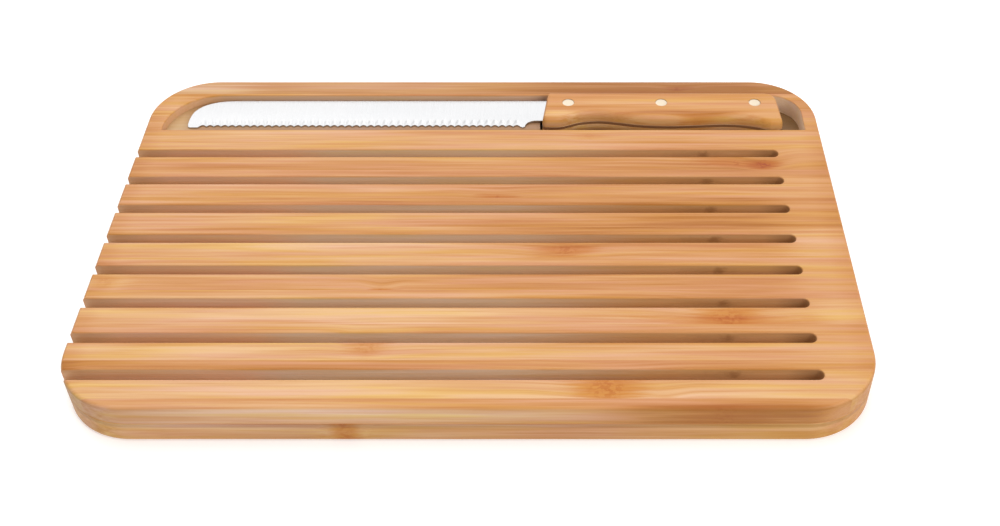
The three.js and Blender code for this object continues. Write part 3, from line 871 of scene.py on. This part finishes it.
def make_bottom_ply(blank):
    laths = [node for node in board_nodes if node.startswith("base")]
    for index, node in enumerate(laths):
        last = index + 1 == len(laths)
        piece = lath_blank(node, blank, -OVERRUN, PLY_SEAM, index == 0, last)
        low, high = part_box(node)
        strips = [MIDDLE + BASE_SWING * math.sin(index * BASE_TURN + phase) for phase in BASE_PHASES]
        seams = (high.y - LATH_WIDTH * 2 / 3, high.y - LATH_WIDTH / 3)
        spot = (index * BASE_KNOT_STEP % BASE_KNOT_SPAN - BASE_KNOT_SPAN / 2) * MM
        knots = [(spot, (low.y + high.y) / 2, *BASE_KNOT)]
        if last:
            knots.append((FRONT_KNOT_X, low.y, *FRONT_KNOT))
        wood = bamboo(
            f"bamboo_{node}", BASE_PLACE + index * BASE_PLACE_STEP, strips, seams, BASE_SHIFT, knots, (),
            (POCKET_LIGHT_AND_SHADE, 1.0, ()), (BASE_FACE_LIGHT_AND_SHADE, SEAM_SHADE),
        )
        finish_piece(piece, wood, BOARD_CREASE)
        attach(piece, "board")
        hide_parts(node)


# Knife

HANDLE_TINT = (1.0, 0.97, 0.86, 1.0)
HANDLE_SEAMS = (91.5 * MM, 101 * MM)
HANDLE_KNOTS = ((122, 83, 26, 9, 9, 0.6),)
# The handle's pale patches: a painted highlight on the rounded front lobe, and a darker streak
HANDLE_PALES_AND_HIGHLIGHT = ((43, 88, 24, 7, 0.3), (112, 89, 84, 5, -0.5))

# Each half's place in the pattern, the tones of its strips and the tint of its side, which paints light
# and
# shade on it: greyer on the upper half, paler on the lower half down in the pocket's shade
SCALES = {
    "upper_scale": (40.0, (0.58, 0.4, 0.45), (0.89, 0.98, 1.08, 1.0)),
    "lower_scale": (43.0, (0.4, 0.4, 0.4), (1.05, 1.22, 1.5, 1.0)),
}

handle_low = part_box("lower_scale")[0]
handle_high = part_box("upper_scale")[1]
HANDLE_LENGTH = handle_high.x - handle_low.x
KNIFE_BACK = handle_high.y
HANDLE_FRONT = handle_low.x
TANG_BOTTOM, TANG_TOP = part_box("blade")[0].z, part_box("blade")[1].z
POINT_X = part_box("blade")[0].x
BLADE_LENGTH = HANDLE_FRONT - POINT_X
SERRATED_LENGTH = BLADE_LENGTH - PLAIN_POINT_LENGTH - HEEL_TOOTH - HEEL_LENGTH
TEETH = round(SERRATED_LENGTH / SERRATION_PITCH)
HEEL_END = PLAIN_POINT_LENGTH + SERRATED_LENGTH + HEEL_TOOTH


def bent(start, control, end, steps):
    """Points after the start of a curve that is bent towards one control point."""
    points = []
    for step in range(1, steps + 1):
        t = step / steps
        first, second, third = (1 - t) ** 2, 2 * t * (1 - t), t * t
        points.append((
            first * start[0] + second * control[0] + third * end[0],
            first * start[1] + second * control[1] + third * end[1],
        ))
    return points


def through(points, steps):
    """A smooth line through points, with its ends kept."""
    line = [points[0]]
    last = len(points) - 1
    for index in range(last):
        around = [points[max(0, min(last, index + shift))] for shift in (-1, 0, 1, 2)]
        for step in range(1, steps + 1):
            t = step / steps
            place = []
            for p0, p1, p2, p3 in zip(*around):
                v1, v2 = (p2 - p0) / 2, (p3 - p1) / 2
                cubic = (2 * p1 - 2 * p2 + v1 + v2) * t ** 3
                square = (-3 * p1 + 3 * p2 - 2 * v1 - v2) * t ** 2
                place.append(cubic + square + v1 * t + p1)
            line.append(tuple(place))
    return line


def handle_outline():
    """The handle seen from above, anticlockwise, around its front end's corner with the back."""
    grip = [(along * HANDLE_LENGTH, -down * HANDLE_HEIGHT) for along, down in GRIP_EDGE_SHARES]
    butt, front = HANDLE_LENGTH, -HANDLE_HEIGHT
    inner_butt = butt - BUTT_SLANT
    corner = HANDLE_CORNER_RADIUS
    line = through(grip, GRIP_STEPS)
    line += bent(line[-1], (butt, front), (butt, front + corner), HANDLE_CORNER_STEPS)
    line.append((inner_butt, -BUTT_BACK_RADIUS))
    line += bent(line[-1], (inner_butt, 0), (inner_butt - BUTT_BACK_RADIUS, 0), BUTT_STEPS)
    line.append((HANDLE_FRONT_SLANT + corner, 0))
    line += bent(line[-1], (HANDLE_FRONT_SLANT, 0), (HANDLE_FRONT_SLANT, -corner), HANDLE_CORNER_STEPS)
    line.append((0, grip[0][1] + corner))
    line += bent(line[-1], (0, grip[0][1]), grip[0], HANDLE_CORNER_STEPS)[:-1]
    return [(HANDLE_FRONT + x, KNIFE_BACK + y) for x, y in line]


def grown(ring, margin):
    """An outline moved outwards by a margin, along the normals of its points."""
    moved = []
    for index, (x, y) in enumerate(ring):
        before, after = ring[index - 1], ring[(index + 1) % len(ring)]
        dx, dy = after[0] - before[0], after[1] - before[1]
        size = math.hypot(dx, dy)
        moved.append((x + margin * dy / size, y - margin * dx / size))
    return moved


def drawn_in(ring, share):
    """The handle's outline moved inwards by a share of its rounding, which is widest along the grip."""
    moved = []
    for (x, y), (out_x, out_y) in zip(ring, grown(ring, 1.0)):
        facing = max(0.0, y - out_y) ** FRONT_FOCUS
        margin = share * (HANDLE_EDGE_ROUND + (HANDLE_FRONT_ROUND - HANDLE_EDGE_ROUND) * facing)
        moved.append((x - margin * (out_x - x), y - margin * (out_y - y)))
    return moved


def rivet_centres():
    centres = []
    for number in (1, 2, 3):
        low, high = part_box(f"rivet_socket_{number}")
        centres.append(((low + high) / 2, (high.x - low.x) / 2))
    return centres


def circle(centre, radius):
    return arc(centre.x, centre.y, radius, 0.0, 2 * math.pi, RIVET_SIDES)[:-1]


def make_scale(node, bottom, top, upper):
    place, strips, painted_side_light = SCALES[node]
    outline = handle_outline()
    rounding = [(HANDLE_EDGE_DEPTH * (1 - s), drawn_in(outline, 1 - c)) for s, c in quarter(ROUND_STEPS)]
    eased = grown(outline, -SCALE_EASE)
    if upper:
        levels = [(bottom, eased), (bottom + SCALE_EASE, outline)]
        levels += [(top - depth, ring) for depth, ring in rounding[1:]]
    else:
        levels = [(bottom + depth, ring) for depth, ring in reversed(rounding[1:])]
        levels += [(top - SCALE_EASE, outline), (top, eased)]
    piece = layered(f"{node}_wood", levels)
    for centre, radius in rivet_centres():
        seat = circle(centre, radius + RIVET_SEAT_GAP)
        ends = (top - RIVET_HEAD, top + OVERRUN) if upper else (bottom - OVERRUN, bottom + RIVET_HEAD)
        bore = layered("bore", [(height, seat) for height in ends])
        cut(piece, bore, "DIFFERENCE")
        remove(bore)
    wood = bamboo(
        f"bamboo_{node}", place, strips, HANDLE_SEAMS, 0.0, metres(HANDLE_KNOTS), metres(HANDLE_PALES_AND_HIGHLIGHT),
        tint=HANDLE_TINT, painted_side_light=painted_side_light,
    )
    finish_piece(piece, wood, HANDLE_CREASE)
    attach(piece, "knife")
    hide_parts(node)


def spine_of(x):
    """The back of the blade at a distance from its point."""
    if x >= POINT_CURVE_LENGTH:
        return 0.0
    edge = -BLADE_HEIGHT
    low, high = 0.0, 1.0
    for _ in range(BISECTIONS):
        t = (low + high) / 2
        along = POINT_CURVE_LENGTH * ((1 - t) ** 3 + 3 * (1 - t) ** 2 * t * (1 - POINT_SPINE_SHARE))
        if along > x:
            low = t
        else:
            high = t
    foot = edge + POINT_EDGE_RADIUS
    return 3 * (1 - t) * t * t * edge * POINT_FRONT_SHARE + t ** 3 * foot


def edge_of(x):
    """The cutting edge at a distance from the point, and how far into a scallop it is."""
    edge = -BLADE_HEIGHT
    tips = edge + TOOTH_SETBACK
    if x < POINT_EDGE_RADIUS:
        t = math.sqrt(max(0.0, x / POINT_EDGE_RADIUS))
        return edge + POINT_EDGE_RADIUS * (1 - t) ** 2, 0.0
    if x < PLAIN_POINT_LENGTH - TOOTH_SETBACK:
        return edge, 0.0
    if x < PLAIN_POINT_LENGTH:
        return edge + (x - PLAIN_POINT_LENGTH + TOOTH_SETBACK), 0.0
    into = x - PLAIN_POINT_LENGTH
    if into < SERRATED_LENGTH:
        scallop = math.sin(math.pi * (into / (SERRATED_LENGTH / TEETH) % 1.0))
        return tips + SERRATION_DEPTH * scallop, scallop
    into -= SERRATED_LENGTH
    if into < HEEL_TOOTH:
        return edge + TOOTH_SETBACK * abs(1 - 2 * into / HEEL_TOOTH), 0.0
    rise = min(1.0, (into - HEEL_TOOTH) / CHOIL_LENGTH)
    return tips + CHOIL_HEIGHT * math.sqrt(1 - (1 - rise) ** 2), 0.0


def ground(y):
    """How thick the blade is ground at a place across it."""
    share = min(1.0, max(0.0, (y + BLADE_HEIGHT) / GRIND_HEIGHT))
    return EDGE_THICKNESS + (TANG_TOP - TANG_BOTTOM - EDGE_THICKNESS) * share


def blade_stations():
    """Distances from the point at which the blade has a section."""
    stations = [POINT_EDGE_RADIUS * (step / POINT_STEPS) ** 2 for step in range(POINT_STEPS + 1)]
    stations[0] = LEAST_LENGTH
    stations += [POINT_EDGE_RADIUS + PLAIN_STEP * step for step in range(1, PLAIN_STEPS + 1)]
    stations += [PLAIN_POINT_LENGTH - TOOTH_SETBACK, PLAIN_POINT_LENGTH - TOOTH_SETBACK / 2]
    stations = sorted(set(x for x in stations if x < PLAIN_POINT_LENGTH))
    steps = TEETH * SCALLOP_STEPS
    stations += [PLAIN_POINT_LENGTH + SERRATED_LENGTH * step / steps for step in range(steps + 1)]
    stations += [HEEL_END - HEEL_TOOTH / 2, HEEL_END]
    stations += [HEEL_END + CHOIL_LENGTH * (1 - c) for _, c in quarter(CHOIL_STEPS)[1:]]
    return stations + [BLADE_LENGTH + HANDLE_FRONT_SLANT + TANG_OVERLAP]


def blade_section(x):
    """The blade's section at a distance from its point: underneath from edge to back, then on top."""
    back = spine_of(x)
    edge, scallop = edge_of(x)
    span = max(back - edge, LEAST_SPAN)
    ease = min(SPINE_EASE, SPINE_EASE_SHARE * span)
    hollow_top = edge + min(SCALLOP_REACH, HOLLOW_SHARE * span)
    flat_top = back - ease
    grind_top = min(GRIND_HEIGHT - BLADE_HEIGHT, hollow_top + GRIND_SHARE * (flat_top - hollow_top))
    bands = (
        (edge, hollow_top, HOLLOW_ROWS),
        (hollow_top, grind_top, GRIND_ROWS),
        (grind_top, flat_top, FLAT_ROWS),
    )
    places = [start + (end - start) * row / rows for start, end, rows in bands for row in range(rows)]
    reach = LEAST_SCALLOP_REACH + (SCALLOP_REACH - LEAST_SCALLOP_REACH) * math.sqrt(scallop)
    over, under = [], []
    for y in (*places, flat_top, back):
        thick = ground(y)
        hollow = (y - edge) / reach
        if hollow < 1 and x <= HEEL_END:
            thick = EDGE_THICKNESS + (ground(edge + reach) - EDGE_THICKNESS) * hollow ** HOLLOW_CURVE
        raised = ease if y >= back else 0.0
        over.append((POINT_X + x, KNIFE_BACK + y, TANG_BOTTOM + (thick - raised)))
        under.append((POINT_X + x, KNIFE_BACK + y, TANG_BOTTOM + raised))
    return under + over[::-1]


def make_blade():
    piece = stacked("blade_steel", [blade_section(x) for x in blade_stations()], clockwise=True)
    outline = handle_outline()
    levels = [(TANG_BOTTOM, -TANG_EASE), (TANG_BOTTOM + TANG_EASE, 0.0)]
    levels += [(TANG_TOP - TANG_EASE, 0.0), (TANG_TOP, -TANG_EASE)]
    tang = layered("tang", [(height, grown(outline, margin)) for height, margin in levels])
    cut(piece, tang, "UNION")
    remove(tang)
    shaded_tang_front = HANDLE_FRONT + HANDLE_FRONT_SLANT + SHADED_TANG_MARGIN
    finish = steel("blade_finish", BLADE_FINISH, (shaded_tang_front, HANDLE_FRONT_SLANT / HANDLE_HEIGHT))
    finish_piece(piece, finish, BLADE_CREASE)
    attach(piece, "knife")
    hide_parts("blade")


def turned(name, profile, centre):
    """A closed solid turned around an upright line, from radii and heights that start and end on it."""
    sides = RIVET_SIDES
    points = [(centre.x, centre.y, profile[0][1])]
    for radius, height in profile[1:-1]:
        points += [(x, y, height) for x, y in circle(centre, radius)]
    top = len(points)
    points.append((centre.x, centre.y, profile[-1][1]))
    faces = [(0, 1 + (step + 1) % sides, 1 + step) for step in range(sides)]
    faces += walls(1, len(profile) - 2, sides)
    low = top - sides
    faces += [(low + step, low + (step + 1) % sides, top) for step in range(sides)]
    return mesh_object(name, points, faces)


def make_rivets():
    finish = steel("rivet_finish", RIVET_FINISH)
    top, bottom = handle_high.z, handle_low.z
    for number, (centre, radius) in enumerate(rivet_centres(), start=1):
        crown = [(radius * c, RIVET_CROWN * (1 - s)) for s, c in quarter(CROWN_STEPS)][:-1]
        under_head = top - RIVET_HEAD
        socket_end = under_head - SOCKET_LENGTH
        socket = [(0, socket_end), (SOCKET_RADIUS, socket_end), (SOCKET_RADIUS, under_head)]
        socket += [(radius, under_head), *((x, top - depth) for x, depth in crown), (0, top)]
        over_head = bottom + RIVET_HEAD
        pin_end = socket_end - PIN_END_GAP
        pin = [(0, bottom), *((x, bottom + depth) for x, depth in reversed(crown))]
        pin += [(radius, over_head), (PIN_RADIUS, over_head), (PIN_RADIUS, pin_end), (0, pin_end)]
        for node, profile in ((f"rivet_socket_{number}", socket), (f"rivet_pin_{number}", pin)):
            piece = turned(f"{node}_steel", profile, centre)
            finish_piece(piece, finish, HANDLE_CREASE)
            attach(piece, "knife")
            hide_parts(node)


# Studio

FLOOR_HALF, FLOOR_DROP = 6.0, 0.2 * MM
FLOOR_PAINT = (0.92, 0.92, 0.92, 1.0)
FLOOR_ROUGHNESS, FLOOR_GLOW, WORLD_GLOW = 0.9, 0.25, 0.62
WHITE = (1.0, 1.0, 1.0, 1.0)

# Name, place, width and height, and power of each softbox
SOFTBOXES = (
    ("back_softbox", (-0.25, 1.45, 1.35), (2.8, 1.7), 20.0),
    ("top_softbox", (-0.3, 0.2, 1.7), (1.0, 1.0), 6.0),
    ("front_softbox", (1.2, -1.4, 1.15), (1.2, 1.2), 22.0),
)


def make_studio():
    signs = ((-1, -1), (1, -1), (1, 1), (-1, 1))
    corners = [(x * FLOOR_HALF, y * FLOOR_HALF, -FLOOR_DROP) for x, y in signs]
    floor = mesh_object("floor", corners, [(0, 1, 2, 3)])
    floor.data.materials.append(Shader("floor_paint").finish({
        "Base Color": FLOOR_PAINT,
        "Roughness": FLOOR_ROUGHNESS,
        "Emission Color": WHITE,
        "Emission Strength": FLOOR_GLOW,
    }))

    world = bpy.data.worlds.new("studio")
    world.use_nodes = True
    background = world.node_tree.nodes["Background"]
    background.inputs["Color"].default_value = WHITE
    background.inputs["Strength"].default_value = WORLD_GLOW
    bpy.context.scene.world = world
    for name, place, size, power in SOFTBOXES:
        light = bpy.data.lights.new(name, "AREA")
        light.shape = "RECTANGLE"
        light.size, light.size_y = size
        light.energy = power
        lamp = linked(name, light)
        lamp.location = place
        lamp.rotation_euler = (-Vector(place)).to_track_quat("-Z", "Y").to_euler()


def make_camera():
    data = bpy.data.cameras.new("camera")
    data.sensor_width = SENSOR_WIDTH_MM
    data.lens = FOCAL_LENGTH_PX / IMAGE_WIDTH_PX * SENSOR_WIDTH_MM
    data.shift_x = (IMAGE_WIDTH_PX / 2 - PRINCIPAL_X_PX) / IMAGE_WIDTH_PX
    data.clip_start = CLIP_START
    camera = linked("camera", data)
    camera.location = CAMERA_PLACE
    camera.rotation_euler = (math.pi / 2 - CAMERA_PITCH, 0.0, 0.0)
    bpy.context.scene.camera = camera


make_camera()
make_studio()
bpy.context.scene.view_settings.view_transform = "Standard"

blank = board_blank()
make_top_ply(blank)
make_bottom_ply(blank)
remove(blank)
make_blade()
make_scale("upper_scale", TANG_TOP, handle_high.z, True)
make_scale("lower_scale", handle_low.z, TANG_BOTTOM, False)
make_rivets()
